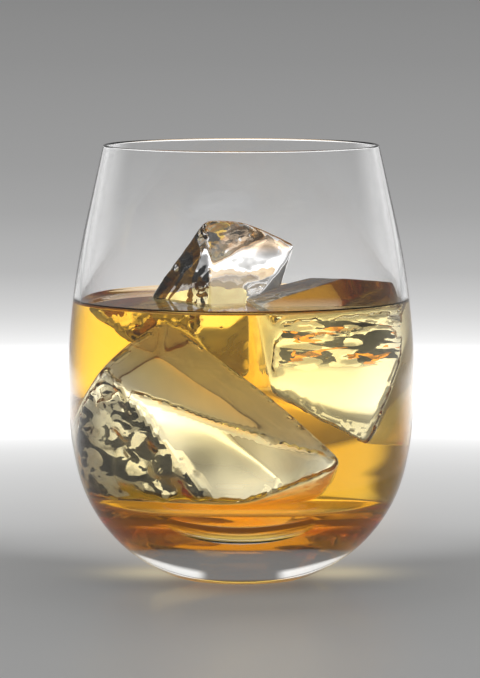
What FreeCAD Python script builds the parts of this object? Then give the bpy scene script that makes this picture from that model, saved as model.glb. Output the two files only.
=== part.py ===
import FreeCAD, Part
import math
import os

# Whisky on the rocks in a rounded, stemless tumbler.
# Millimetres, +Z up, origin on the table under the middle of the foot, front towards -Y.

# Outside of the tumbler: flat foot, base arc, hip arc, belly, shoulder arc, straight wall, rim
HEIGHT = 110.0
RIM_RADIUS = 35.0
SHOULDER_Z = 91.0
BELLY_RADIUS = 44.0
BELLY_Z = 48.0
HIP_ARC = 90.0
HIP_Z = 28.0
FOOT_RADIUS = 15.7

# Inside of the tumbler: dished floor, corner arc, then the side's curve
RIM_WALL = 0.9
BELLY_WALL = 2.0
BASE_THICKNESS = 15.0
FLOOR_ARC = 100.0
CORNER_ARC = 12.0

# Drink
LEVEL_Z = 69.6
DRINK_GAP = 0.2

# Ice: wall_gap is the film of drink left between a lump and the tumbler,
# lump_gap the film between two lumps
ICE_WALL_GAP = 0.9
ICE_LUMP_GAP = 0.8
ICE_BLOCK = 140.0

# Each lump is a block split along flat faces. Its centre is (across, deep, below the level),
# and each face gives the compass angle and the rise of its outward normal, in degrees,
# and its distance from the centre.
ICE = {
    "ice_left": {
        "centre": (-10.0, -10.0, 31.6),
        "faces": {
            "upper": (-67.5, 50.5, 15.7),
            "front": (-89.5, 8.5, 18.7),
            "end": (-131.5, -24.0, 17.8),
            "left": (155.5, 38.5, 23.6),
            "right": (21.5, 39.5, 16.5),
            "back": (88.0, 4.0, 43.7),
            "under": (-122.5, -85.5, 16.1),
            "heel": (-13.5, -68.5, 19.3),
        },
    },
    "ice_right": {
        "centre": (22.0, -2.0, 13.6),
        "faces": {
            "front": (-73.5, 11.5, 16.9),
            "top": (-83.0, 70.0, 16.2),
            "side": (-160.5, 9.0, 21.2),
            "flank": (-173.5, -5.5, 18.3),
            "right": (6.5, -24.0, 13.0),
            "under": (-167.5, -60.0, 15.6),
            "back": (86.0, 2.0, 33.9),
            "crown_left": (178.0, 76.5, 17.9),
            "crown": (60.0, 84.0, 19.9),
        },
    },
    "ice_top": {
        "centre": (-5.0, 8.0, 1.6),
        "faces": {
            "front": (-71.5, 19.0, 12.0),
            "bevel": (-88.5, 30.5, 15.0),
            "left": (-145.0, 11.5, 10.5),
            "shoulder": (128.0, 44.0, 14.7),
            "top": (80.0, 71.5, 19.5),
            "slope": (27.0, 64.5, 21.0),
            "right": (-31.0, -24.0, 10.3),
            "flank": (-0.5, -20.0, 12.4),
            "back": (95.0, -14.0, 10.7),
            "under": (138.0, -57.0, 13.8),
            "keel": (-73.0, -30.5, 14.2),
        },
    },
}


def point(radius, z):
    """A point of a profile, in the plane that is turned round the Z axis."""
    return FreeCAD.Vector(radius, 0, z)


def on_arc(centre, radius, angle):
    """The point of an arc in the profile plane, the angle counted from +X towards +Z."""
    return point(centre.x + radius * math.cos(angle), centre.z + radius * math.sin(angle))


def arc(centre, radius, start, end):
    """An arc of the profile from one angle to the other."""
    middle = (start + end) / 2
    ends = (on_arc(centre, radius, start), on_arc(centre, radius, middle), on_arc(centre, radius, end))
    return Part.Arc(*ends).toShape()


def line(a, b):
    return Part.LineSegment(a, b).toShape()


def turned(edges):
    """The solid made by turning a closed profile round the Z axis."""
    face = Part.Face(Part.Wire(edges))
    solid = face.revolve(FreeCAD.Vector(0, 0, 0), FreeCAD.Vector(0, 0, 1), 360)
    return solid if solid.Volume > 0 else solid.reversed()


def wall_lean(drop, top):
    """The lean of the straight upper wall that loses `drop` of radius between belly and top."""
    arc_rise = SHOULDER_Z - BELLY_Z
    straight_rise = top - SHOULDER_Z
    low, high = 0.0, math.radians(60)
    for _ in range(60):
        lean = (low + high) / 2
        lost = arc_rise * math.tan(lean / 2) + straight_rise * math.tan(lean)
        low, high = (lean, high) if lost < drop else (low, lean)
    return lean


def upper_wall(belly_radius, top_radius, top):
    """Edges from the belly up to the top: an arc that leaves the belly upright, then a straight."""
    lean = wall_lean(belly_radius - top_radius, top)
    radius = (SHOULDER_Z - BELLY_Z) / math.sin(lean)
    centre = point(belly_radius - radius, BELLY_Z)
    shoulder = on_arc(centre, radius, lean)
    return [arc(centre, radius, 0, lean), line(shoulder, point(top_radius, top))]


def outside():
    """Edges of the outer profile, from the middle of the foot up to the rim's round."""
    hip_centre = point(BELLY_RADIUS - HIP_ARC, BELLY_Z)
    hip_angle = math.asin((BELLY_Z - HIP_Z) / HIP_ARC)
    hip = on_arc(hip_centre, HIP_ARC, -hip_angle)
    # The base arc runs on from the hip arc and ends at the edge of the foot.
    across = hip.x - FOOT_RADIUS
    reach = across * math.cos(hip_angle) - HIP_Z * math.sin(hip_angle)
    base_arc = (across ** 2 + HIP_Z ** 2) / (2 * reach)
    base_centre = point(hip.x - base_arc * math.cos(hip_angle), HIP_Z + base_arc * math.sin(hip_angle))
    foot_angle = math.atan2(-base_centre.z, FOOT_RADIUS - base_centre.x)
    return [
        line(point(0, 0), point(FOOT_RADIUS, 0)),
        arc(base_centre, base_arc, foot_angle, -hip_angle),
        arc(hip_centre, HIP_ARC, -hip_angle, 0),
        *upper_wall(BELLY_RADIUS, RIM_RADIUS, HEIGHT - RIM_WALL / 2),
    ]


def corner_centre(floor_centre, hip_centre, hip_arc, gap):
    """The centre of the corner arc, which touches both the dished floor and the side's curve."""
    from_floor = FLOOR_ARC - CORNER_ARC
    from_hip = hip_arc - CORNER_ARC + gap
    apart = hip_centre - floor_centre
    along = (from_floor ** 2 - from_hip ** 2 + apart.Length ** 2) / (2 * apart.Length)
    aside = math.sqrt(from_floor ** 2 - along ** 2)
    step = FreeCAD.Vector(apart).normalize()
    across = FreeCAD.Vector(-step.z, 0, step.x)
    across = across if across.x > 0 else -across
    return floor_centre + step * along + across * aside


def inside(gap=0.0):
    """Edges of the inner profile moved in by a gap, from the middle of the floor up to the rim."""
    hip_arc = HIP_ARC - BELLY_WALL - gap
    hip_centre = point(BELLY_RADIUS - HIP_ARC, BELLY_Z)
    floor_centre = point(0, BASE_THICKNESS + FLOOR_ARC)
    corner = corner_centre(floor_centre, hip_centre, hip_arc, gap)
    floor_end = math.atan2(corner.z - floor_centre.z, corner.x)
    meet = math.atan2(corner.z - hip_centre.z, corner.x - hip_centre.x)
    return [
        arc(floor_centre, FLOOR_ARC - gap, -math.pi / 2, floor_end),
        arc(corner, CORNER_ARC - gap, floor_end, meet),
        arc(hip_centre, hip_arc, meet, 0),
        *upper_wall(BELLY_RADIUS - BELLY_WALL - gap, RIM_RADIUS - RIM_WALL - gap, HEIGHT - RIM_WALL / 2),
    ]


def cavity(gap):
    """The space inside the tumbler, up to the rim and clear of the wall by a gap."""
    top = HEIGHT - RIM_WALL / 2
    floor = BASE_THICKNESS + gap
    lid = line(point(RIM_RADIUS - RIM_WALL - gap, top), point(0, top))
    return turned(inside(gap) + [lid, line(point(0, top), point(0, floor))])


def glass():
    """The tumbler: a thick solid base, a thin wall and a fully rounded rim."""
    rim_z = HEIGHT - RIM_WALL / 2
    rim_round = arc(point(RIM_RADIUS - RIM_WALL / 2, rim_z), RIM_WALL / 2, 0, math.pi)
    axis = line(point(0, BASE_THICKNESS), point(0, 0))
    return turned(outside() + [rim_round] + inside()[::-1] + [axis])


def lump(name, grow=0.0):
    """A lump of ice before it meets anything else, each face moved outwards by `grow`."""
    across, deep, below = ICE[name]["centre"]
    centre = FreeCAD.Vector(across, deep, LEVEL_Z - below)
    half = ICE_BLOCK / 2
    block = Part.makeBox(ICE_BLOCK, ICE_BLOCK, ICE_BLOCK, centre - FreeCAD.Vector(half, half, half))
    for compass, rise, distance in ICE[name]["faces"].values():
        waste = Part.makeBox(2 * ICE_BLOCK, 2 * ICE_BLOCK, ICE_BLOCK, FreeCAD.Vector(-ICE_BLOCK, -ICE_BLOCK, 0))
        waste.translate(FreeCAD.Vector(0, 0, distance + grow))
        waste.rotate(FreeCAD.Vector(0, 0, 0), FreeCAD.Vector(0, 1, 0), 90 - rise)
        waste.rotate(FreeCAD.Vector(0, 0, 0), FreeCAD.Vector(0, 0, 1), compass)
        waste.translate(centre)
        block = block.cut(waste)
    return block


def ice():
    """Every lump, kept inside the tumbler and clear of the lumps before it."""
    room = cavity(ICE_WALL_GAP)
    placed = {}
    for name in ICE:
        shape = lump(name).common(room)
        for other in placed:
            shape = shape.cut(lump(other, ICE_LUMP_GAP))
        placed[name] = max(shape.Solids, key=lambda solid: solid.Volume)
    return placed


def whisky(lumps):
    """The drink up to its level, cut round the ice."""
    below_level = Part.makeBox(HEIGHT * 2, HEIGHT * 2, LEVEL_Z, FreeCAD.Vector(-HEIGHT, -HEIGHT, 0))
    drink = cavity(DRINK_GAP).common(below_level)
    for name in lumps:
        drink = drink.cut(lump(name, DRINK_GAP))
    return max(drink.Solids, key=lambda solid: solid.Volume)


def main():
    os.makedirs("parts", exist_ok=True)
    lumps = ice()
    nodes = {"glass": glass(), "whisky": whisky(lumps), **lumps}
    for name, shape in nodes.items():
        shape.exportStep(f"parts/{name}.step")
        box = shape.BoundBox
        print(f"{name}: {shape.Volume / 1000:.1f} cm3, valid {shape.isValid()}, solids {len(shape.Solids)},",
              f"x {box.XMin:.1f}..{box.XMax:.1f}, y {box.YMin:.1f}..{box.YMax:.1f}, z {box.ZMin:.1f}..{box.ZMax:.1f}")


main()
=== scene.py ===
"""Whisky on the rocks: a rounded tumbler, the whisky in it and three lumps of clear ice."""

import math

import bmesh
import bpy
from bpy.props import FloatProperty, FloatVectorProperty, IntProperty, PointerProperty
from bpy.types import Operator, Panel, PropertyGroup
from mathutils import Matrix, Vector


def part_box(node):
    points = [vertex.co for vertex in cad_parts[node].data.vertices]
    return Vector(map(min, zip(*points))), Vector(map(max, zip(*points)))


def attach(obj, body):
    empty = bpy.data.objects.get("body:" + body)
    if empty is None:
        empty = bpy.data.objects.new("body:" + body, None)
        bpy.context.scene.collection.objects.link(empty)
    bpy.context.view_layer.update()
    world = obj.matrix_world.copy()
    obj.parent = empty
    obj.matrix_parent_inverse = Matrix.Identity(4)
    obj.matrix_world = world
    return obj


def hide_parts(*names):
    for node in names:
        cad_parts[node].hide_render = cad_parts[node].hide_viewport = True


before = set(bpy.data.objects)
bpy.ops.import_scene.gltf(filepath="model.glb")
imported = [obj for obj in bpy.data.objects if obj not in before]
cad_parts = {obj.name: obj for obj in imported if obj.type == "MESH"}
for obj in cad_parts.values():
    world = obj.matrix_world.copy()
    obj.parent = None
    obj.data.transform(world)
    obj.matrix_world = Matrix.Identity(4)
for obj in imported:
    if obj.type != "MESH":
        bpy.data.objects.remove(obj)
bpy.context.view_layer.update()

bl_info = {
    "name": "Whisky on the rocks",
    "version": (1, 0, 0),
    "blender": (4, 5, 0),
    "location": "View3D > Sidebar > Whisky",
    "description": "A tumbler of whisky with ice, on a pale studio floor",
    "category": "Object",
}

MM = 0.001
GLASS_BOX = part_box("glass")
DRINK_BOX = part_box("whisky")
LUMPS = ("ice_left", "ice_right", "ice_top")
# A piece with fewer faces than this has come out empty.
FEWEST_FACES = 1000
# Edges of the drink that turn more than this are left sharp.
SHARP_ANGLE = math.radians(40)


# ---------------------------------------------------------------- sizes and colours

class TumblerProps(PropertyGroup):
    """The tumbler's own sizes."""

    height: FloatProperty(
        name="Height", description="From the table to the top of the rim",
        default=GLASS_BOX[1].z, unit="LENGTH")
    belly_radius: FloatProperty(
        name="Belly radius", description="Outer radius at the widest place",
        default=44 * MM, unit="LENGTH")
    belly_height: FloatProperty(
        name="Belly height", description="Height of the widest place",
        default=48 * MM, unit="LENGTH")
    shoulder_height: FloatProperty(
        name="Shoulder height", description="Where the wall runs on straight up to the rim",
        default=91 * MM, unit="LENGTH")
    rim_radius: FloatProperty(
        name="Rim radius", description="Outer radius of the mouth", default=35 * MM, unit="LENGTH")
    foot_radius: FloatProperty(
        name="Foot radius", description="Radius of the flat it stands on",
        default=15.7 * MM, unit="LENGTH")
    hip_arc: FloatProperty(
        name="Hip arc", description="Radius of the side's curve below the belly",
        default=90 * MM, unit="LENGTH")
    hip_height: FloatProperty(
        name="Hip height", description="Where the side's curve meets the base's",
        default=28 * MM, unit="LENGTH")
    rim_wall: FloatProperty(
        name="Rim wall", description="Thickness of the glass at the rim",
        default=0.9 * MM, unit="LENGTH")
    belly_wall: FloatProperty(
        name="Belly wall", description="Thickness of the glass at the belly",
        default=2 * MM, unit="LENGTH")
    base: FloatProperty(
        name="Base", description="Thickness of the solid base", default=15 * MM, unit="LENGTH")
    floor_arc: FloatProperty(
        name="Floor arc", description="Radius of the dished floor inside",
        default=100 * MM, unit="LENGTH")
    corner_arc: FloatProperty(
        name="Corner arc", description="Radius where the floor inside turns up into the wall",
        default=12 * MM, unit="LENGTH")
    segments: IntProperty(name="Segments", description="Steps round the turned pieces", default=160)
    tint: FloatVectorProperty(
        name="Tint", description="Colour of the glass", subtype="COLOR", size=4,
        default=(1.0, 1.0, 1.0, 1.0))


class DrinkProps(PropertyGroup):
    """The whisky."""

    level: FloatProperty(
        name="Level", description="Height of the drink", default=DRINK_BOX[1].z, unit="LENGTH")
    into_wall: FloatProperty(
        name="Into the wall", description="How far the drink reaches into the glass",
        default=0.25 * MM, unit="LENGTH")
    meniscus: FloatProperty(
        name="Meniscus", description="How high the drink climbs the wall",
        default=1.4 * MM, unit="LENGTH")
    amber: FloatVectorProperty(
        name="Amber", description="What the drink lets through", subtype="COLOR", size=4,
        default=(0.97, 0.80, 0.083, 1.0))
    # Painted light: the deep amber seen through the base is painted into the drink's floor ring.
    painted_floor_light: FloatVectorProperty(
        name="Painted amber below", description="Tint of the light that passes the drink's floor",
        subtype="COLOR", size=4, default=(0.86, 0.42, 0.004, 1.0))
    strength: FloatProperty(
        name="Strength", description="How fast the drink colours the light, per metre",
        default=54.0)


class IceProps(PropertyGroup):
    """What the three lumps have in common."""

    detail: IntProperty(name="Detail", description="Times the starting ball is divided", default=7)
    rounding: IntProperty(name="Rounding", description="Steps of melting the edges", default=4)
    swell: FloatProperty(
        name="Swell", description="Height of the slow waves on the faces",
        default=0.4 * MM, unit="LENGTH")
    swell_length: FloatProperty(
        name="Swell length", description="Width of the slow waves", default=14 * MM, unit="LENGTH")
    ripple: FloatProperty(
        name="Ripple", description="Height of the small waves on the faces",
        default=0.1 * MM, unit="LENGTH")
    ripple_length: FloatProperty(
        name="Ripple length", description="Width of the small waves", default=4 * MM, unit="LENGTH")
    overlap: FloatProperty(
        name="Overlap", description="How far the drink reaches into a lump",
        default=0.12 * MM, unit="LENGTH")
    air: FloatProperty(
        name="Air", description="Thickness of the air caught at a rough end",
        default=0.3 * MM, unit="LENGTH")


class StageProps(PropertyGroup):
    """Floor, light and camera."""

    floor: FloatVectorProperty(
        name="Floor", description="Colour of the floor", subtype="COLOR", size=4,
        default=(0.5, 0.5, 0.49, 1.0))
    side: FloatProperty(
        name="Side light", description="Brightness of the band over the horizon, left and right",
        default=1.2)
    distance: FloatProperty(
        name="Camera distance", description="From the camera to the middle of the glass",
        default=1.264, unit="LENGTH")
    camera_height: FloatProperty(
        name="Camera height", description="Height of the camera", default=0.171, unit="LENGTH")
    camera_dip: FloatProperty(
        name="Camera dip", description="How far the camera looks down",
        default=math.radians(4.99), unit="ROTATION")
    lens: FloatProperty(name="Lens", description="Focal length in millimetres", default=265.5)


# ---------------------------------------------------------------- node helpers

# Kinds of socket on a node group.
FLOAT, WHOLE_NUMBER, VECTOR = "NodeSocketFloat", "NodeSocketInt", "NodeSocketVector"
COLOUR, GEOMETRY = "NodeSocketColor", "NodeSocketGeometry"


def add_node(tree, kind, values=None, **settings):
    """A node with its settings and its unlinked input values."""
    node = tree.nodes.new(kind)
    for key, value in settings.items():
        setattr(node, key, value)
    for key, value in (values or {}).items():
        node.inputs[key].default_value = value
    return node


def feed(tree, socket, value):
    """Links a socket to another, or sets it to a plain value."""
    if isinstance(value, bpy.types.NodeSocket):
        tree.links.new(value, socket)
    else:
        socket.default_value = value


def maths(tree, operation, a, b=None):
    """The result of a Math node, each side a number or a socket."""
    node = add_node(tree, "ShaderNodeMath", operation=operation)
    for index, value in enumerate((a, b)):
        if value is not None:
            feed(tree, node.inputs[index], value)
    return node.outputs[0]


def product(tree, *values):
    """Several values multiplied in turn."""
    result = values[0]
    for value in values[1:]:
        result = maths(tree, "MULTIPLY", result, value)
    return result


def vector_maths(tree, operation, a, b=None, scale=None):
    """The result of a Vector Math node, each side a vector or a socket."""
    node = add_node(tree, "ShaderNodeVectorMath", operation=operation)
    for key, value in ((0, a), (1, b), ("Scale", scale)):
        if value is not None:
            feed(tree, node.inputs[key], value)
    return node.outputs["Value" if operation in {"LENGTH", "DOT_PRODUCT", "DISTANCE"} else "Vector"]


def parts_of(tree, vector):
    """The X, Y and Z of a vector, by name."""
    split = add_node(tree, "ShaderNodeSeparateXYZ")
    tree.links.new(vector, split.inputs[0])
    return split.outputs


def smooth_step(tree, value, low, high):
    """From 0 at low to 1 at high, with soft ends."""
    step = add_node(tree, "ShaderNodeMapRange", interpolation_type="SMOOTHSTEP")
    for key, given in (("Value", value), ("From Min", low), ("From Max", high)):
        feed(tree, step.inputs[key], given)
    return step.outputs[0]


def mixed(tree, share, first, second):
    """A colour between two, each a colour or a socket."""
    mix = add_node(tree, "ShaderNodeMix", data_type="RGBA")
    for index, value in ((0, share), (6, first), (7, second)):
        feed(tree, mix.inputs[index], value)
    return mix.outputs[2]


def ramp(tree, value, low, high, stops):
    """A grey ramp over a value; a stop is (value, brightness)."""
    scaled = add_node(tree, "ShaderNodeMapRange", {"From Min": low, "From Max": high})
    tree.links.new(value, scaled.inputs["Value"])
    colours = add_node(tree, "ShaderNodeValToRGB")
    tree.links.new(scaled.outputs[0], colours.inputs[0])
    elements = colours.color_ramp.elements
    while len(elements) < len(stops):
        elements.new(0.5)
    for element, (at, grey) in zip(elements, stops):
        element.position = (at - low) / (high - low)
        element.color = (grey, grey, grey, 1)
    return colours.outputs[0]


def from_group(tree, group, values):
    """The result of a shared group placed in a material with its own values."""
    node = add_node(tree, "ShaderNodeGroup", node_tree=group)
    for key, value in values.items():
        feed(tree, node.inputs[key], value)
    return node.outputs[0]


def new_tree(name, kind, inputs, outputs):
    """A node group with named sockets, and its two end nodes."""
    tree = bpy.data.node_groups.new(name, kind)
    for in_out, sockets in (("INPUT", inputs), ("OUTPUT", outputs)):
        for label, kind_of, *default in sockets:
            socket = tree.interface.new_socket(name=label, in_out=in_out, socket_type=kind_of)
            if default:
                socket.default_value = default[0]
    return tree, add_node(tree, "NodeGroupInput"), add_node(tree, "NodeGroupOutput")


def placed(name, data):
    """A new object in the scene."""
    made = bpy.data.objects.new(name, data)
    bpy.context.scene.collection.objects.link(made)
    return made


def made_mesh(name, source, tree, values):
    """A plain mesh object: what the tree makes of the source mesh, with its modifier gone."""
    carrier = placed(name, source)
    modifier = carrier.modifiers.new(name, "NODES")
    modifier.node_group = tree
    sockets = {item.name: item.identifier for item in tree.interface.items_tree
               if item.item_type == "SOCKET" and item.in_out == "INPUT"}
    for key, value in values.items():
        modifier[sockets[key]] = value
    evaluated = carrier.evaluated_get(bpy.context.evaluated_depsgraph_get())
    mesh = bpy.data.meshes.new_from_object(evaluated)
    bpy.data.objects.remove(carrier)
    return placed(name, mesh)


# ---------------------------------------------------------------- profiles

# Steps of each arc of the profiles.
BASE_STEPS, HIP_STEPS, WALL_STEPS, RIM_STEPS = 44, 20, 36, 12
FLOOR_STEPS, CORNER_STEPS, SIDE_STEPS = 24, 32, 28
# Points closer than the first are merged, and faces thinner than the second are dropped.
MERGE_WITHIN, SLIVER = 1e-6, 1e-7


def arc_points(centre, radius, start, end, steps):
    """Points of an arc in the profile plane, without its last one."""
    return [(centre[0] + radius * math.cos(start + (end - start) * step / steps),
             centre[1] + radius * math.sin(start + (end - start) * step / steps))
            for step in range(steps)]


def wall_lean(props, drop, top):
    """The lean of the straight upper wall that loses `drop` of radius between belly and top."""
    low, high = 0.0, math.radians(60)
    for _ in range(50):
        lean = (low + high) / 2
        lost = ((props.shoulder_height - props.belly_height) * math.tan(lean / 2)
                + (top - props.shoulder_height) * math.tan(lean))
        low, high = (lean, high) if lost < drop else (low, lean)
    return lean


def upper_wall(props, belly_radius, top_radius, top):
    """The wall from the belly to the top: an arc that starts upright, then a straight."""
    lean = wall_lean(props, belly_radius - top_radius, top)
    radius = (props.shoulder_height - props.belly_height) / math.sin(lean)
    points = arc_points((belly_radius - radius, props.belly_height), radius, 0, lean, WALL_STEPS)
    shoulder = belly_radius - radius * (1 - math.cos(lean))
    for share in (0, 0.25, 0.5, 0.75, 0.9, 0.97, 0.99, 0.998, 1):
        points.append((shoulder + (top_radius - shoulder) * share,
                       props.shoulder_height + (top - props.shoulder_height) * share))
    return points


def outside(props):
    """The outer profile, from the middle of the foot up to the rim."""
    hip_angle = math.asin((props.belly_height - props.hip_height) / props.hip_arc)
    centre = props.belly_radius - props.hip_arc
    hip = centre + props.hip_arc * math.cos(hip_angle)
    across = hip - props.foot_radius
    reach = across * math.cos(hip_angle) - props.hip_height * math.sin(hip_angle)
    base_arc = (across ** 2 + props.hip_height ** 2) / (2 * reach)
    base = (hip - base_arc * math.cos(hip_angle), props.hip_height + base_arc * math.sin(hip_angle))
    foot_angle = math.atan2(-base[1], props.foot_radius - base[0])
    # A first short step keeps the edge of the foot crisp.
    edge = 0.003
    points = [(0, 0), (props.foot_radius * 0.9, 0), (props.foot_radius * 0.99, 0)]
    points += arc_points(base, base_arc, foot_angle, foot_angle + edge, 1)
    points += arc_points(base, base_arc, foot_angle + edge, -hip_angle, BASE_STEPS)
    points += arc_points((centre, props.belly_height), props.hip_arc, -hip_angle, 0, HIP_STEPS)
    return points + upper_wall(props, props.belly_radius, props.rim_radius,
                               props.height - props.rim_wall / 2)


def inside(props, grow=0.0):
    """The inner profile moved out into the glass by `grow`, from the floor up to the rim."""
    hip_arc = props.hip_arc - props.belly_wall + grow
    hip = Vector((props.belly_radius - props.hip_arc, props.belly_height))
    floor = Vector((0.0, props.base + props.floor_arc))
    # The corner arc touches both the dished floor and the side's curve.
    from_floor = props.floor_arc - props.corner_arc
    from_hip = props.hip_arc - props.belly_wall - props.corner_arc
    apart = hip - floor
    along = (from_floor ** 2 - from_hip ** 2 + apart.length_squared) / (2 * apart.length)
    step = apart.normalized()
    aside = math.sqrt(from_floor ** 2 - along ** 2)
    corner = floor + step * along + Vector((-step.y, step.x)) * aside
    floor_end = math.atan2(corner.y - floor.y, corner.x)
    meet = math.atan2(corner.y - hip.y, corner.x - hip.x)
    points = arc_points(floor, props.floor_arc + grow, -math.pi / 2, floor_end, FLOOR_STEPS)
    points += arc_points(corner, props.corner_arc + grow, floor_end, meet, CORNER_STEPS)
    points += arc_points(hip, hip_arc, meet, 0, SIDE_STEPS)
    points[0] = (0, props.base - grow)
    return points + upper_wall(props, props.belly_radius - props.belly_wall + grow,
                               props.rim_radius - props.rim_wall + grow,
                               props.height - props.rim_wall / 2)


def profile_mesh(name, points):
    """The profile as a plain mesh of points, in order from the axis round to the axis."""
    mesh = bpy.data.meshes.new(name)
    mesh.from_pydata([(radius, 0, z) for radius, z in points], [], [])
    return mesh


def turning_tree(material):
    """Turns a row of profile points round the Z axis into a closed mesh."""
    tree, given, result = new_tree(
        "Turned profile", "GeometryNodeTree",
        [("Geometry", GEOMETRY), ("Rings", WHOLE_NUMBER, 10),
         ("Segments", WHOLE_NUMBER, 160)],
        [("Geometry", GEOMETRY)])
    grid = add_node(tree, "GeometryNodeMeshGrid", {"Size X": 1.0, "Size Y": 1.0})
    tree.links.new(given.outputs["Rings"], grid.inputs["Vertices X"])
    tree.links.new(maths(tree, "ADD", given.outputs["Segments"], 1.0), grid.inputs["Vertices Y"])
    position = add_node(tree, "GeometryNodeInputPosition").outputs[0]
    across = parts_of(tree, position)
    last = maths(tree, "SUBTRACT", given.outputs["Rings"], 1.0)
    place = maths(tree, "MULTIPLY", maths(tree, "ADD", across["X"], 0.5), last)
    ring = maths(tree, "ROUND", place)
    angle = maths(tree, "MULTIPLY", maths(tree, "ADD", across["Y"], 0.5), math.tau)
    sample = add_node(tree, "GeometryNodeSampleIndex", data_type="FLOAT_VECTOR", domain="POINT",
                      clamp=True)
    tree.links.new(given.outputs["Geometry"], sample.inputs["Geometry"])
    tree.links.new(position, sample.inputs["Value"])
    tree.links.new(ring, sample.inputs["Index"])
    turn = add_node(tree, "ShaderNodeVectorRotate", rotation_type="Z_AXIS")
    tree.links.new(sample.outputs[0], turn.inputs["Vector"])
    tree.links.new(angle, turn.inputs["Angle"])
    put = add_node(tree, "GeometryNodeSetPosition")
    tree.links.new(grid.outputs["Mesh"], put.inputs["Geometry"])
    tree.links.new(turn.outputs[0], put.inputs["Position"])
    merge = add_node(tree, "GeometryNodeMergeByDistance", {"Distance": MERGE_WITHIN})
    tree.links.new(put.outputs[0], merge.inputs["Geometry"])
    finish_tree(tree, merge.outputs[0], material, result)
    return tree


def finish_tree(tree, geometry, material, result):
    """Every tree ends the same way: smooth, realised and with its material."""
    smooth = add_node(tree, "GeometryNodeSetShadeSmooth")
    realize = add_node(tree, "GeometryNodeRealizeInstances")
    paint = add_node(tree, "GeometryNodeSetMaterial")
    paint.inputs["Material"].default_value = material
    tree.links.new(geometry, smooth.inputs[0])
    tree.links.new(smooth.outputs[0], realize.inputs[0])
    tree.links.new(realize.outputs[0], paint.inputs["Geometry"])
    tree.links.new(paint.outputs[0], result.inputs[0])


def turned(name, points, material, segments):
    """A smooth turned piece with its faces pointing outwards."""
    source = profile_mesh(name + "_profile", points)
    steps = {"Rings": len(points), "Segments": segments}
    piece = made_mesh(name, source, turning_tree(material), steps)
    shell = bmesh.new()
    shell.from_mesh(piece.data)
    bmesh.ops.dissolve_degenerate(shell, edges=shell.edges, dist=SLIVER)
    bmesh.ops.recalc_face_normals(shell, faces=shell.faces)
    shell.to_mesh(piece.data)
    shell.free()
    return piece


# ---------------------------------------------------------------- materials

GLASS_IOR, DRINK_IOR, ICE_IOR = 1.5, 1.36, 1.49
WHITE = (1.0, 1.0, 1.0, 1.0)
# Colours of painted light and shade on the ice and at the glass's foot: black and brown for painted
# dark reflections, gold and orange for painted glints, tan for a painted tint of light seen through
# the drink.
BLACK = (0.002, 0.002, 0.002, 1.0)
BROWN = (0.035, 0.010, 0.0005, 1.0)
GOLD = (0.58, 0.24, 0.006, 1.0)
ORANGE = (0.85, 0.15, 0.001, 1.0)
TAN = (0.52, 0.47, 0.42, 1.0)
PAINTED_GLOW_COLOUR = (1.0, 0.98, 0.90, 1.0)


def shared_group(name, inputs, output, build):
    """A shader group of that name. Its nodes are built the first time it is asked for."""
    group = bpy.data.node_groups.get(name)
    if group is None:
        group, given, result = new_tree(name, "ShaderNodeTree", inputs, [output])
        group.links.new(build(group, given.outputs), result.inputs[0])
    return group


def build_waves(tree, given):
    stretched = vector_maths(tree, "MULTIPLY", given["Vector"], given["Stretch"])
    noise = add_node(tree, "ShaderNodeTexNoise", {"Roughness": 0.45, "Detail": 2.0})
    tree.links.new(stretched, noise.inputs["Vector"])
    tree.links.new(given["Waves per metre"], noise.inputs["Scale"])
    return maths(tree, "SUBTRACT", noise.outputs[0], 0.5)


def waves_group():
    """Soft waves over a surface, as a height from -0.5 to 0.5."""
    inputs = [("Vector", VECTOR), ("Stretch", VECTOR, (1, 1, 1)),
              ("Waves per metre", FLOAT, 100.0)]
    return shared_group("Soft waves", inputs, ("Height", FLOAT), build_waves)


def build_band(tree, given):
    height = parts_of(tree, given["Vector"])["Z"]
    rising = smooth_step(tree, height, given["Start"], given["Whole"])
    falling = smooth_step(tree, height, given["Fading"], given["Gone"])
    return product(tree, rising, maths(tree, "SUBTRACT", 1.0, falling))


def band_group():
    """A soft band between two heights."""
    inputs = [("Vector", VECTOR), ("Start", FLOAT, 0.0), ("Whole", FLOAT, 0.0),
              ("Fading", FLOAT, 1.0), ("Gone", FLOAT, 1.0)]
    return shared_group("Height band", inputs, ("Mask", FLOAT), build_band)


def build_painted_swirls(tree, given):
    facing = vector_maths(tree, "DOT_PRODUCT", given["Facet"], given["Face"])
    swirl = add_node(tree, "ShaderNodeTexNoise", {"Scale": 170.0, "Detail": 2.5, "Distortion": 1.6})
    stretched = vector_maths(tree, "MULTIPLY", given["Vector"], given["Stretch"])
    tree.links.new(stretched, swirl.inputs["Vector"])
    # The swirl lies nearly all between these two values, so a share of the face is one between.
    none, whole = 0.72, 0.28
    least = maths(tree, "ADD", maths(tree, "MULTIPLY", given["Share"], whole - none), none)
    over = maths(tree, "SUBTRACT", swirl.outputs[0], least)
    height = parts_of(tree, given["Vector"])["Z"]
    soft = 1.5 * MM
    return product(
        tree, smooth_step(tree, facing, 0.90, 0.96),
        smooth_step(tree, maths(tree, "SUBTRACT", height, given["Lowest"]), -soft, soft),
        smooth_step(tree, maths(tree, "SUBTRACT", given["Highest"], height), -soft, soft),
        smooth_step(tree, over, -0.012, 0.012))


def painted_swirls_group():
    """Painted light and shade: swirls painted over one face of a lump, between two heights."""
    inputs = [("Vector", VECTOR), ("Facet", VECTOR), ("Face", VECTOR, (0, 0, 1)),
              ("Lowest", FLOAT, -1.0), ("Highest", FLOAT, 1.0), ("Stretch", VECTOR, (1, 1, 1)),
              ("Share", FLOAT, 0.5)]
    return shared_group("Painted swirls", inputs, ("Mask", FLOAT), build_painted_swirls)


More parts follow.
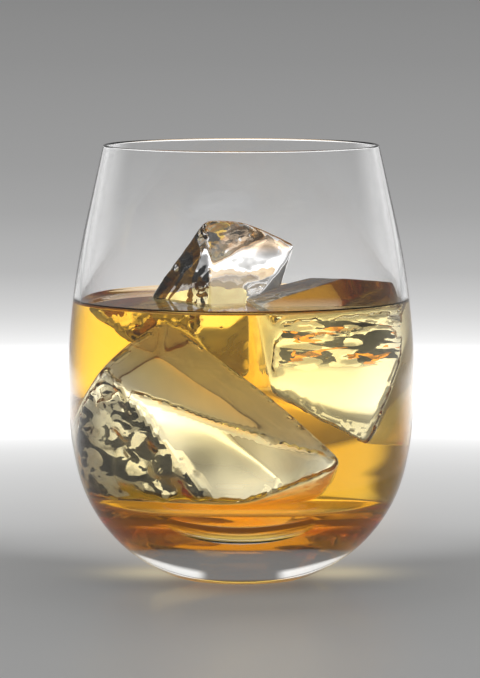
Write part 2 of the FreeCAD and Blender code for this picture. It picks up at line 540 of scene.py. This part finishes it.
def build_painted_glow(tree, given):
    facing = vector_maths(tree, "DOT_PRODUCT", given["Facet"], given["Face"])
    glow_patches = add_node(tree, "ShaderNodeTexNoise", {"Scale": 60.0, "Detail": 1.0})
    tree.links.new(given["Vector"], glow_patches.inputs["Vector"])
    glow = product(tree, smooth_step(tree, facing, 0.92, 0.98),
                   smooth_step(tree, glow_patches.outputs[0], 0.25, 0.75), given["Brightness"])
    return vector_maths(tree, "SCALE", PAINTED_GLOW_COLOUR[:3], scale=glow)


def painted_glow_group():
    """Painted light: a soft glow in patches over one face of a lump."""
    inputs = [("Vector", VECTOR), ("Facet", VECTOR), ("Face", VECTOR, (0, 0, 1)),
              ("Brightness", FLOAT, 0.2)]
    return shared_group("Painted ice glow", inputs, ("Glow", COLOUR), build_painted_glow)


def object_place(tree):
    """The Object coordinates of the surface."""
    return add_node(tree, "ShaderNodeTexCoord").outputs["Object"]


def paint_light(material, colour, mask):
    """Painted light and shade: mixes a colour into a clear material's colour where a mask says,
    over any earlier painted colour.
    """
    base = material.node_tree.nodes["Principled BSDF"].inputs["Base Color"]
    earlier = base.links[0].from_socket if base.links else tuple(base.default_value)
    material.node_tree.links.new(mixed(material.node_tree, mask, earlier, colour), base)


def clear_material(name, colour, ior, waves, stretch, height):
    """A clear Principled finish whose surface carries the soft waves as a bump."""
    material = bpy.data.materials.new(name)
    material.use_nodes = True
    tree = material.node_tree
    shader = tree.nodes["Principled BSDF"]
    shader.inputs["Base Color"].default_value = colour
    shader.inputs["Roughness"].default_value = 0.0
    shader.inputs["IOR"].default_value = ior
    shader.inputs["Transmission Weight"].default_value = 1.0
    waves_height = from_group(tree, waves_group(), {
        "Vector": object_place(tree), "Stretch": stretch, "Waves per metre": waves})
    bump = add_node(tree, "ShaderNodeBump", {"Strength": 1.0, "Distance": height})
    tree.links.new(waves_height, bump.inputs["Height"])
    tree.links.new(bump.outputs["Normal"], shader.inputs["Normal"])
    return material


def ice_material(name):
    """Clear ice with the painted swirls of light and shade and the painted glow of one lump."""
    material = clear_material(name + " clear", WHITE, ICE_IOR, 300.0, (1, 1, 1), 0.000002)
    tree = material.node_tree
    facet = add_node(tree, "ShaderNodeAttribute", attribute_name="facet")
    where = {"Vector": object_place(tree), "Facet": facet.outputs["Vector"]}
    for *values, colour in PAINTED_SWIRLS[name]:
        values = dict(zip(("Face", "Lowest", "Highest", "Stretch", "Share"), values))
        paint_light(material, colour, from_group(tree, painted_swirls_group(), where | values))
    # Painted light: the glow is emission, though the ice gives no light of its own.
    face, brightness = PAINTED_GLOW[name]
    glow = from_group(tree, painted_glow_group(), where | {"Face": face, "Brightness": brightness})
    shader = tree.nodes["Principled BSDF"]
    tree.links.new(glow, shader.inputs["Emission Color"])
    shader.inputs["Emission Strength"].default_value = 1.0
    material.cycles.emission_sampling = "NONE"
    return material


# ---------------------------------------------------------------- ice

def direction(compass, rise):
    """The direction with a compass angle, counted from +X towards +Y, and a rise, in degrees."""
    compass, rise = math.radians(compass), math.radians(rise)
    level = math.cos(rise)
    return level * math.cos(compass), level * math.sin(compass), math.sin(rise)


# Outward directions of the lumps' flat faces, by the same angles as in the part's source.
LEFT_END = direction(-131.5, -24.0)
LEFT_UPPER = direction(-67.5, 50.5)
LEFT_FRONT = direction(-89.5, 8.5)
RIGHT_FRONT = direction(-73.5, 11.5)
RIGHT_TOP = direction(-83.0, 70.0)
RIGHT_CROWN = direction(60.0, 84.0)
TOP_LEFT = direction(-145.0, 11.5)
TOP_BEVEL = direction(-88.5, 30.5)
TOP_FRONT = direction(-71.5, 19.0)
TOP_CROWN = direction(80.0, 71.5)
# Edges are chipped only where they turn this way, in chips about this wide.
FRONT = (0.0, -1.0, 0.0)
CHIP_LENGTH = 3 * MM

# What each lump has of its own, beside what the lumps have in common.
LUMP_STYLE = {
    "ice_left": {"Seed": 0.0, "Rough face": LEFT_END, "Roughness": 0.0030, "Rough length": 0.006,
                 "Smooth share": -1.0, "Chips": 0.0014, "Chip air": 1.0},
    "ice_right": {"Seed": 3.3, "Rough face": RIGHT_FRONT, "Rough grain": (0.3, 1.0, 1.5),
                  "Rough from": 0.057, "Rough to": 0.0675, "Roughness": 0.0022,
                  "Rough length": 0.004, "Smooth share": 0.5, "Chips": 0.0014, "Chip air": 1.0},
    "ice_top": {"Seed": 6.6, "Detail": 6, "Rounding": 2, "Swell": 0.0010, "Swell length": 0.010,
                "Ripple": 0.0004, "Ripple length": 0.0035, "Rough face": TOP_LEFT,
                "Rough to": 0.0675, "Roughness": 0.0016, "Rough length": 0.004,
                "Smooth share": 0.35, "Chips": 0.001},
}

# Painted light and shade on each lump's faces, in swirls: black and brown for painted dark
# reflections, gold and orange for painted glints, tan for a painted tint of light seen through the
# drink. For each: the face, lowest and highest place, stretch, share of the face, and colour.
PAINTED_SWIRLS = {
    "ice_left": ((LEFT_END, -1.0, 1.0, (0.75, 0.75, 1.05), 0.52, BLACK),
                 (LEFT_UPPER, -1.0, 1.0, (0.3, 0.3, 0.3), 1.20, TAN)),
    "ice_right": ((RIGHT_FRONT, 0.0555, 0.068, (0.35, 0.8, 1.6), 0.50, BLACK),
                  (RIGHT_FRONT, 0.0555, 0.066, (0.5, 1.0, 1.9), 0.30, ORANGE),
                  (RIGHT_TOP, 0.0700, 1.0, (0.8, 0.8, 0.8), 0.95, GOLD),
                  (RIGHT_CROWN, 0.0700, 1.0, (0.8, 0.8, 0.8), 0.60, BROWN)),
    "ice_top": ((TOP_LEFT, 0.0, 1.0, (0.45, 0.45, 0.45), 0.42, BLACK),
                (TOP_LEFT, 0.0, 1.0, (0.7, 0.7, 0.7), 0.45, BROWN),
                (TOP_BEVEL, 0.0820, 1.0, (0.8, 0.8, 1.0), 0.75, GOLD),
                (TOP_BEVEL, 0.0835, 1.0, (0.7, 0.7, 1.1), 0.52, BLACK),
                (TOP_CROWN, 0.0, 1.0, (0.9, 0.9, 0.9), 0.55, GOLD)),
}

# The face of each lump with a painted glow, and how bright the glow is.
PAINTED_GLOW = {
    "ice_left": (LEFT_FRONT, 0.68),
    "ice_right": (RIGHT_FRONT, 0.20),
    "ice_top": (TOP_FRONT, 0.24),
}


def lump_wave(tree, given, vector, length, height, shift, detail):
    """Noise about zero, with waves of a length and a height; the shift sets one use apart."""
    noise = add_node(tree, "ShaderNodeTexNoise", {"Detail": detail, "Roughness": 0.45},
                     noise_dimensions="4D")
    feed(tree, noise.inputs["Scale"], maths(tree, "DIVIDE", 1.0, length))
    feed(tree, noise.inputs["W"], maths(tree, "ADD", given["Seed"], shift))
    feed(tree, noise.inputs["Vector"], vector)
    return maths(tree, "MULTIPLY", maths(tree, "SUBTRACT", noise.outputs[0], 0.5), height)


def melted_ball(tree, given, position):
    """A ball thrown onto the lump's flat faces, with its edges melted, and the faces' normals."""
    # The ball starts well outside every lump, and its rays reach well past their middle.
    ball = add_node(tree, "GeometryNodeMeshIcoSphere", {"Radius": 0.12})
    tree.links.new(given["Detail"], ball.inputs["Subdivisions"])
    cast = add_node(tree, "GeometryNodeRaycast", {"Ray Length": 1.0})
    tree.links.new(given["Geometry"], cast.inputs["Target Geometry"])
    feed(tree, cast.inputs["Source Position"], vector_maths(tree, "ADD", position, given["Centre"]))
    feed(tree, cast.inputs["Ray Direction"], vector_maths(tree, "SCALE", position, scale=-1.0))
    keep = add_node(tree, "GeometryNodeCaptureAttribute")
    keep.capture_items.new("VECTOR", "Face normal")
    tree.links.new(ball.outputs["Mesh"], keep.inputs[0])
    tree.links.new(cast.outputs["Hit Normal"], keep.inputs[1])
    on_faces = add_node(tree, "GeometryNodeSetPosition")
    tree.links.new(keep.outputs[0], on_faces.inputs["Geometry"])
    tree.links.new(cast.outputs["Hit Position"], on_faces.inputs["Position"])
    blur = add_node(tree, "GeometryNodeBlurAttribute", data_type="FLOAT_VECTOR")
    vector_in, vector_out = (
        [socket for socket in sockets if socket.type == "VECTOR"][0]
        for sockets in (blur.inputs, blur.outputs))
    tree.links.new(position, vector_in)
    tree.links.new(given["Rounding"], blur.inputs["Iterations"])
    melted = add_node(tree, "GeometryNodeSetPosition")
    tree.links.new(on_faces.outputs[0], melted.inputs["Geometry"])
    tree.links.new(vector_out, melted.inputs["Position"])
    return melted.outputs[0], keep.outputs[1]


def rough_patches(tree, given, position, flat_normal):
    """Patches of one face between two heights: how rough a place is, and how high it stands."""
    along = vector_maths(tree, "MULTIPLY", position, given["Rough grain"])
    height = parts_of(tree, position)["Z"]
    over = maths(tree, "SUBTRACT", height, given["Rough from"])
    below = maths(tree, "SUBTRACT", given["Rough to"], height)
    patches = lump_wave(tree, given, along, given["Rough length"], 1.0, 21.0, 1.0)
    patches = maths(tree, "SUBTRACT", maths(tree, "ADD", patches, 0.5), given["Smooth share"])
    facing = vector_maths(tree, "DOT_PRODUCT", flat_normal, given["Rough face"])
    share = smooth_step(tree, facing, 0.90, 0.97)
    for value, soft in ((over, 1 * MM), (below, 1 * MM), (patches, 0.06)):
        share = product(tree, share, smooth_step(tree, value, -soft, soft))
    rough = lump_wave(tree, given, along, given["Rough length"], given["Roughness"], 13.0, 2.0)
    return share, product(tree, rough, share)


def chipped_edges(tree, given, position, flat_normal, normal):
    """Where a melted edge turns away from its flat face: how chipped it is, and how high."""
    away = maths(tree, "SUBTRACT", 1.0, vector_maths(tree, "DOT_PRODUCT", normal, flat_normal))
    uneven = lump_wave(tree, given, position, 3.0 * CHIP_LENGTH, 1.0, 41.0, 1.0)
    forwards = vector_maths(tree, "DOT_PRODUCT", normal, FRONT)
    share = product(tree, smooth_step(tree, away, 0.015, 0.06),
                    smooth_step(tree, maths(tree, "ADD", uneven, 0.5), 0.30, 0.40),
                    smooth_step(tree, forwards, 0.25, 0.40))
    chips = lump_wave(tree, given, position, CHIP_LENGTH, given["Chips"], 31.0, 2.0)
    return share, product(tree, chips, share)


def stored(tree, geometry, name, data_type, field):
    """The geometry with a value kept on its points, for the material and the drink to read."""
    store = add_node(tree, "GeometryNodeStoreNamedAttribute", {"Name": name},
                     data_type=data_type, domain="POINT")
    tree.links.new(geometry, store.inputs["Geometry"])
    value = [socket for socket in store.inputs if socket.name == "Value" and socket.enabled][0]
    tree.links.new(field, value)
    return store.outputs[0]


def lump_tree(material):
    """Throws a ball onto a lump's flat faces, melts its edges and ripples its surface."""
    tree, given, result = new_tree(
        "Melting lump", "GeometryNodeTree",
        [("Geometry", GEOMETRY), ("Centre", VECTOR), ("Seed", FLOAT, 0.0),
         ("Detail", WHOLE_NUMBER, 6), ("Rounding", WHOLE_NUMBER, 5),
         ("Swell", FLOAT, 0.0), ("Swell length", FLOAT, 0.014),
         ("Ripple", FLOAT, 0.0), ("Ripple length", FLOAT, 0.004),
         ("Rough face", VECTOR, (0, 0, 0)), ("Rough grain", VECTOR, (1, 1, 1)),
         ("Rough from", FLOAT, -1.0), ("Rough to", FLOAT, 1.0),
         ("Roughness", FLOAT, 0.0), ("Rough length", FLOAT, 0.006), ("Smooth share", FLOAT, 0.0),
         ("Chips", FLOAT, 0.0), ("Chip air", FLOAT, 0.0)],
        [("Geometry", GEOMETRY)])
    given = given.outputs
    position = add_node(tree, "GeometryNodeInputPosition").outputs[0]
    normal = add_node(tree, "GeometryNodeInputNormal").outputs[0]
    melted, flat_normal = melted_ball(tree, given, position)
    raised = lump_wave(tree, given, position, given["Swell length"], given["Swell"], 0.0, 1.0)
    ripple = lump_wave(tree, given, position, given["Ripple length"], given["Ripple"], 7.0, 2.0)
    rough_share, rough = rough_patches(tree, given, position, flat_normal)
    chip_share, chips = chipped_edges(tree, given, position, flat_normal, normal)
    for height in (ripple, rough, chips):
        raised = maths(tree, "ADD", raised, height)
    air = maths(tree, "MAXIMUM", rough_share, product(tree, chip_share, given["Chip air"]))
    marked = stored(tree, melted, "air", "FLOAT", air)
    marked = stored(tree, marked, "facet", "FLOAT_VECTOR", flat_normal)
    rippled = add_node(tree, "GeometryNodeSetPosition")
    tree.links.new(marked, rippled.inputs["Geometry"])
    tree.links.new(vector_maths(tree, "SCALE", normal, scale=raised), rippled.inputs["Offset"])
    finish_tree(tree, rippled.outputs[0], material, result)
    return tree


def lump_centre(node):
    """The middle of a CAD lump's corners, a point inside it."""
    corners = [vertex.co for vertex in node.data.vertices]
    return sum(corners, Vector()) / len(corners)


def carve_lump(name, tree, props):
    """The melted, rippled mesh of one CAD lump."""
    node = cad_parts[name]
    source = node.data.copy()
    values = {"Centre": lump_centre(node), "Detail": props.detail, "Rounding": props.rounding,
              "Swell": props.swell, "Swell length": props.swell_length, "Ripple": props.ripple,
              "Ripple length": props.ripple_length}
    values.update(LUMP_STYLE[name])
    return made_mesh(name + "_melting", source, tree, values)


def room_for(name, overlap, air):
    """What a lump leaves of the drink: a little less than the lump, and more at its rough end."""
    piece = bpy.data.objects[name + "_melting"]
    copy = placed(piece.name + "_room", piece.data.copy())
    caught = copy.data.attributes["air"].data
    normals = [vertex.normal.copy() for vertex in copy.data.vertices]
    for vertex, normal, mask in zip(copy.data.vertices, normals, caught):
        vertex.co += normal * (-overlap + (overlap + air) * (mask.value > 0.5))
    return copy


# ---------------------------------------------------------------- operators

class WHISKY_OT_glass(Operator):
    """Turn the tumbler on its axis"""

    bl_idname = "whisky.glass"
    bl_label = "Turn the tumbler"

    def execute(self, context):
        props = context.scene.tumbler
        material = clear_material(
            "Polished glass", props.tint, GLASS_IOR, 45.0, (1, 1, 0.12), 0.00002)
        # Painted light: the amber light that the drink sends to the foot's edge is painted into the
        # lowest ring of the tumbler, round its foot.
        tree = material.node_tree
        paint_light(material, GOLD, from_group(tree, band_group(), {
            "Vector": object_place(tree), "Start": 0.02 * MM, "Whole": 0.05 * MM,
            "Fading": 1.2 * MM, "Gone": 2.2 * MM}))
        rim = (props.rim_radius - props.rim_wall / 2, props.height - props.rim_wall / 2)
        outer = outside(props)[:-1]
        rounded = arc_points(rim, props.rim_wall / 2, 0, math.pi, RIM_STEPS)
        points = outer + rounded + inside(props)[::-1]
        piece = turned("tumbler", points, material, props.segments)
        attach(piece, "root")
        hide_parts("glass")
        return {"FINISHED"}


class WHISKY_OT_ice(Operator):
    """Melt and ripple the three lumps of ice"""

    bl_idname = "whisky.ice"
    bl_label = "Melt the ice"

    def execute(self, context):
        props = context.scene.ice
        for name in LUMPS:
            piece = carve_lump(name, lump_tree(ice_material(name)), props)
            if len(piece.data.polygons) < FEWEST_FACES:
                raise RuntimeError(f"{name} came out empty")
            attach(piece, "root")
            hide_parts(name)
        return {"FINISHED"}


class WHISKY_OT_drink(Operator):
    """Pour the whisky round the ice"""

    bl_idname = "whisky.drink"
    bl_label = "Pour the whisky"

    def execute(self, context):
        props = context.scene.drink
        tumbler = context.scene.tumbler
        material = clear_material("Whisky", WHITE, DRINK_IOR, 60.0, (1, 1, 1), 0.0000005)
        tree = material.node_tree
        colour = add_node(tree, "ShaderNodeVolumeAbsorption")
        colour.inputs["Color"].default_value = props.amber
        colour.inputs["Density"].default_value = props.strength
        tree.links.new(colour.outputs[0], tree.nodes["Material Output"].inputs["Volume"])
        # Painted light: the outer ring of the drink's floor is tinted a deeper amber.
        paint_light(material, props.painted_floor_light, self.painted_light_ring(tree))
        points = self.profile(tumbler, props)
        piece = turned("whisky_drink", points, material, tumbler.segments)
        ice = context.scene.ice
        cutters = [room_for(name, ice.overlap, ice.air) for name in LUMPS]
        for cutter in cutters:
            cut = piece.modifiers.new(cutter.name, "BOOLEAN")
            cut.object = cutter
            cut.operation = "DIFFERENCE"
            cut.solver = "MANIFOLD"
        evaluated = piece.evaluated_get(context.evaluated_depsgraph_get())
        mesh = bpy.data.meshes.new_from_object(evaluated)
        piece.modifiers.clear()
        piece.data = mesh
        mesh.shade_smooth()
        mesh.set_sharp_from_angle(angle=SHARP_ANGLE)
        mesh.materials.clear()
        mesh.materials.append(material)
        for cutter in cutters:
            bpy.data.objects.remove(cutter)
        if len(mesh.polygons) < FEWEST_FACES:
            raise RuntimeError("the drink came out empty")
        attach(piece, "root")
        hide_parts("whisky")
        return {"FINISHED"}

    @staticmethod
    def painted_light_ring(tree):
        """The outer ring of the drink's floor, where it faces down onto the thick base, which takes
        the painted amber light.
        """
        normal = add_node(tree, "ShaderNodeNewGeometry").outputs["True Normal"]
        upright = maths(tree, "ABSOLUTE", parts_of(tree, normal)["Z"])
        ring = from_group(tree, band_group(), {
            "Vector": object_place(tree), "Start": 16.6 * MM, "Whole": 17.6 * MM,
            "Fading": 20 * MM, "Gone": 22 * MM})
        return product(tree, smooth_step(tree, upright, 0.45, 0.75), ring)

    @staticmethod
    def wall_radius(points, level):
        """The radius where a profile passes a level."""
        for (r0, z0), (r1, z1) in zip(points, points[1:]):
            if z0 <= level < z1:
                return r0 + (r1 - r0) * (level - z0) / (z1 - z0)
        raise RuntimeError("the drink's level is above the rim")

    def profile(self, tumbler, props):
        """The drink's outline: out along its floor, up the wall, and in along its level."""
        points = inside(tumbler, props.into_wall)
        wall = [point for point in points if point[1] < props.level - 2 * MM]
        edge = self.wall_radius(points, props.level)
        # The meniscus dies away inwards over its reach, in rings that are closer near the wall.
        rings, width, reach, crowding = 14, 6 * MM, 1.1 * MM, 1.6
        surface = []
        for ring in range(rings):
            inwards = width * (ring / (rings - 1)) ** crowding
            climb = props.meniscus * math.exp(-inwards / reach)
            surface.append((edge - inwards, props.level + climb))
        return wall + surface + [(edge * 0.5, props.level), (0, props.level)]


# Brightness of the light painted on the floor as its own glow, by distance from the glass, in
# metres: in the lane that runs straight back from it, beside that lane, and in front of the glass.
# The bright ring behind is a painted pool of light. Just in front of the glass, a dip deepens the
# real shadow with painted shade.
LANE = ((0.0, 0.14), (0.058, 0.22), (0.095, 0.26), (0.122, 0.315), (0.153, 0.355),
        (0.187, 0.40), (0.223, 0.45), (0.256, 0.51), (0.30, 0.62), (0.335, 0.80), (0.37, 1.3),
        (0.42, 1.9), (0.56, 1.9), (0.62, 1.3), (0.68, 0.78), (0.735, 0.66), (0.81, 0.545),
        (0.90, 0.47), (1.06, 0.365), (1.27, 0.33), (1.5, 0.285), (2.0, 0.25), (2.66, 0.23),
        (4.2, 0.195), (7.5, 0.165))
BESIDE = ((0.0, 0.20), (0.16, 0.35), (0.28, 1.4), (0.50, 2.0), (0.62, 1.5), (0.80, 0.40),
          (1.5, 0.25), (7.5, 0.18))
BEFORE = ((0.0, 0.14), (0.058, 0.10), (0.085, 0.12), (0.3, 0.14), (1.0, 0.15), (3.0, 0.17),
          (7.5, 0.18))
# Half the lane's width at the glass, and how much it widens for each metre back.
LANE_HALF = 0.066
LANE_WIDENS = 0.14
# The light behind is whole up to the first of these shares of "straight back", and gone at the
# second on the floor and at the third over the horizon.
WHOLE, FLOOR_GONE, SKY_GONE = 0.90, 0.45, 0.72
FLOOR_REACH = 8.0
# Air under the foot, so that the flat of the foot mirrors as polished glass does.
FOOT_GAP = 0.15 * MM
# Brightness all round and share of the band just over the horizon behind the glass, both by the
# rise of the direction, down to the lowest rise that they cover.
LOWEST_RISE = -0.2
SKY = ((-0.2, 0.22), (0.01, 0.22), (0.10, 0.20), (0.34, 0.18), (0.5, 0.10), (1.0, 0.04))
BAND = ((-0.2, 0.0), (-0.004, 0.0), (0.012, 1.0), (0.075, 1.0), (0.105, 0.0))
# Painted light: warm glows painted on the floor where the drink would throw its light, beside the
# foot and behind the glass: place, reach along each axis, and colour.
PAINTED_FLOOR_GLOWS = (((-0.0215, 0.008, 0.0), (0.013, 0.013, 1.0), (0.30, 0.25, 0.14)),
          ((0.0245, 0.008, 0.0), (0.013, 0.013, 1.0), (0.30, 0.25, 0.14)),
          ((0.0, 0.14, 0.0), (0.024, 0.075, 1.0), (0.75, 0.42, 0.06)))
# Softboxes: name, place, width and depth, and the brightness of the face.
SOFTBOXES = (("back softbox", (0.0, 0.55, 0.95), (0.9, 0.35), 1.6),
             ("front softbox", (0.0, -0.49, 1.10), (1.4, 1.0), 0.85))
# Light passes many walls of glass, drink and ice on its way.
CLEAR_BOUNCES, GLOSSY_BOUNCES = 40, 12
CAMERA_ASIDE = -0.3 * MM


def side_light(tree, vector, half, gone):
    """How far a place or a direction lies outside the lane, and how far it is behind the glass."""
    place = parts_of(tree, vector)
    least = 1e-4
    across, back = maths(tree, "ABSOLUTE", place["X"]), place["Y"]
    width = maths(tree, "ADD", product(tree, back, LANE_WIDENS), half)
    outside_lane = maths(tree, "DIVIDE", across, maths(tree, "MAXIMUM", width, least))
    squares = [maths(tree, "POWER", value, 2.0) for value in (across, back)]
    level = maths(tree, "POWER", maths(tree, "ADD", *squares), 0.5)
    straight = maths(tree, "DIVIDE", back, maths(tree, "MAXIMUM", level, least))
    return smooth_step(tree, outside_lane, 1.0, 1.5), smooth_step(tree, straight, gone, WHOLE)


class WHISKY_OT_stage(Operator):
    """Lay the floor, hang the lights and set up the camera"""

    bl_idname = "whisky.stage"
    bl_label = "Set the stage"

    def execute(self, context):
        props = context.scene.stage
        self.floor(props)
        self.sky(context)
        for name, place, size, brightness in SOFTBOXES:
            self.light(name, place, size, brightness)
        self.camera(context, props)
        context.scene.view_settings.view_transform = "Standard"
        context.scene.cycles.max_bounces = CLEAR_BOUNCES
        context.scene.cycles.transmission_bounces = CLEAR_BOUNCES
        context.scene.cycles.glossy_bounces = GLOSSY_BOUNCES
        return {"FINISHED"}

    def floor(self, props):
        """A wide floor that gives its own graded light, painted on it."""
        mesh = bpy.data.meshes.new("studio_floor")
        half = 12.0
        corners = [(x * half, y * half, 0) for x, y in ((-1, -1), (1, -1), (1, 1), (-1, 1))]
        mesh.from_pydata(corners, [], [(0, 1, 2, 3)])
        floor = placed("studio_floor", mesh)
        floor.location.z = -FOOT_GAP
        material = bpy.data.materials.new("Pale floor")
        material.use_nodes = True
        tree = material.node_tree
        shader = tree.nodes["Principled BSDF"]
        shader.inputs["Base Color"].default_value = props.floor
        shader.inputs["Roughness"].default_value = 0.4
        place = object_place(tree)
        away = vector_maths(tree, "LENGTH", place)
        spread = maths(tree, "POWER", maths(tree, "DIVIDE", away, FLOOR_REACH), 0.5)
        lane, beside, before = (
            ramp(tree, spread, 0.0, 1.0, [((at / FLOOR_REACH) ** 0.5, grey) for at, grey in stops])
            for stops in (LANE, BESIDE, BEFORE))
        side, back = side_light(tree, place, LANE_HALF, FLOOR_GONE)
        light = mixed(tree, back, before, mixed(tree, side, lane, beside))
        # The drink's thrown light is painted into the floor's glow.
        for middle, reach, colour in PAINTED_FLOOR_GLOWS:
            near = vector_maths(tree, "SUBTRACT", place, middle)
            near = vector_maths(tree, "LENGTH", vector_maths(tree, "DIVIDE", near, reach))
            fall = maths(tree, "EXPONENT", product(tree, maths(tree, "POWER", near, 2.0), -1.0))
            spot = vector_maths(tree, "SCALE", colour, scale=fall)
            light = vector_maths(tree, "ADD", light, spot)
        tree.links.new(light, shader.inputs["Emission Color"])
        shader.inputs["Emission Strength"].default_value = 1.0
        material.cycles.emission_sampling = "NONE"
        mesh.materials.append(material)

    def sky(self, context):
        """A dim sky, brighter behind the glass and to its sides."""
        world = bpy.data.worlds.new("Studio")
        context.scene.world = world
        world.use_nodes = True
        tree = world.node_tree
        direction = add_node(tree, "ShaderNodeTexCoord").outputs["Generated"]
        rise = parts_of(tree, direction)["Z"]
        sky, fade = (ramp(tree, rise, LOWEST_RISE, 1.0, stops) for stops in (SKY, BAND))
        side, back = side_light(tree, direction, 0.0, SKY_GONE)
        bright = context.scene.stage.side
        light = mixed(tree, product(tree, side, back, fade), sky, (bright, bright, bright, 1))
        tree.links.new(light, tree.nodes["Background"].inputs["Color"])

    def light(self, name, place, size, brightness):
        """A rectangular softbox turned towards the glass, with the brightness of its face."""
        data = bpy.data.lights.new(name, "AREA")
        data.shape = "RECTANGLE"
        data.size, data.size_y = size
        # A face of brightness 1 gives pi watts for each square metre.
        data.energy = brightness * math.pi * size[0] * size[1]
        lamp = placed(name, data)
        lamp.location = place
        lamp.rotation_euler = (-Vector(place)).to_track_quat("-Z", "Y").to_euler()
        lamp.visible_camera = False

    def camera(self, context, props):
        """The camera in front, a little over the glass and looking down."""
        data = bpy.data.cameras.new("camera")
        data.sensor_width = 36.0
        data.lens = props.lens
        data.clip_start, data.clip_end = 0.05, 50.0
        camera = placed("camera", data)
        camera.location = (CAMERA_ASIDE, -props.distance, props.camera_height)
        camera.rotation_euler = (math.pi / 2 - props.camera_dip, 0, 0)
        context.scene.camera = camera


class WHISKY_PT_panel(Panel):
    """The drink's pieces, sizes and colours"""

    bl_idname = "WHISKY_PT_panel"
    bl_label = "Whisky on the rocks"
    bl_space_type = "VIEW_3D"
    bl_region_type = "UI"
    bl_category = "Whisky"

    def draw(self, context):
        scene = context.scene
        for operator, group in (("whisky.glass", scene.tumbler), ("whisky.ice", scene.ice),
                                ("whisky.drink", scene.drink), ("whisky.stage", scene.stage)):
            box = self.layout.box()
            box.operator(operator)
            for name in group.bl_rna.properties.keys():
                if name not in {"rna_type", "name"}:
                    box.prop(group, name)


CLASSES = (TumblerProps, DrinkProps, IceProps, StageProps, WHISKY_OT_glass, WHISKY_OT_ice,
           WHISKY_OT_drink, WHISKY_OT_stage, WHISKY_PT_panel)
GROUPS = {"tumbler": TumblerProps, "drink": DrinkProps, "ice": IceProps, "stage": StageProps}


def register():
    for cls in CLASSES:
        bpy.utils.register_class(cls)
    for name, group in GROUPS.items():
        setattr(bpy.types.Scene, name, PointerProperty(type=group))


def unregister():
    for name in GROUPS:
        delattr(bpy.types.Scene, name)
    for cls in reversed(CLASSES):
        bpy.utils.unregister_class(cls)


def main():
    register()
    bpy.ops.whisky.glass()
    bpy.ops.whisky.ice()
    bpy.ops.whisky.drink()
    bpy.ops.whisky.stage()


if __name__ == "__main__":
    main()
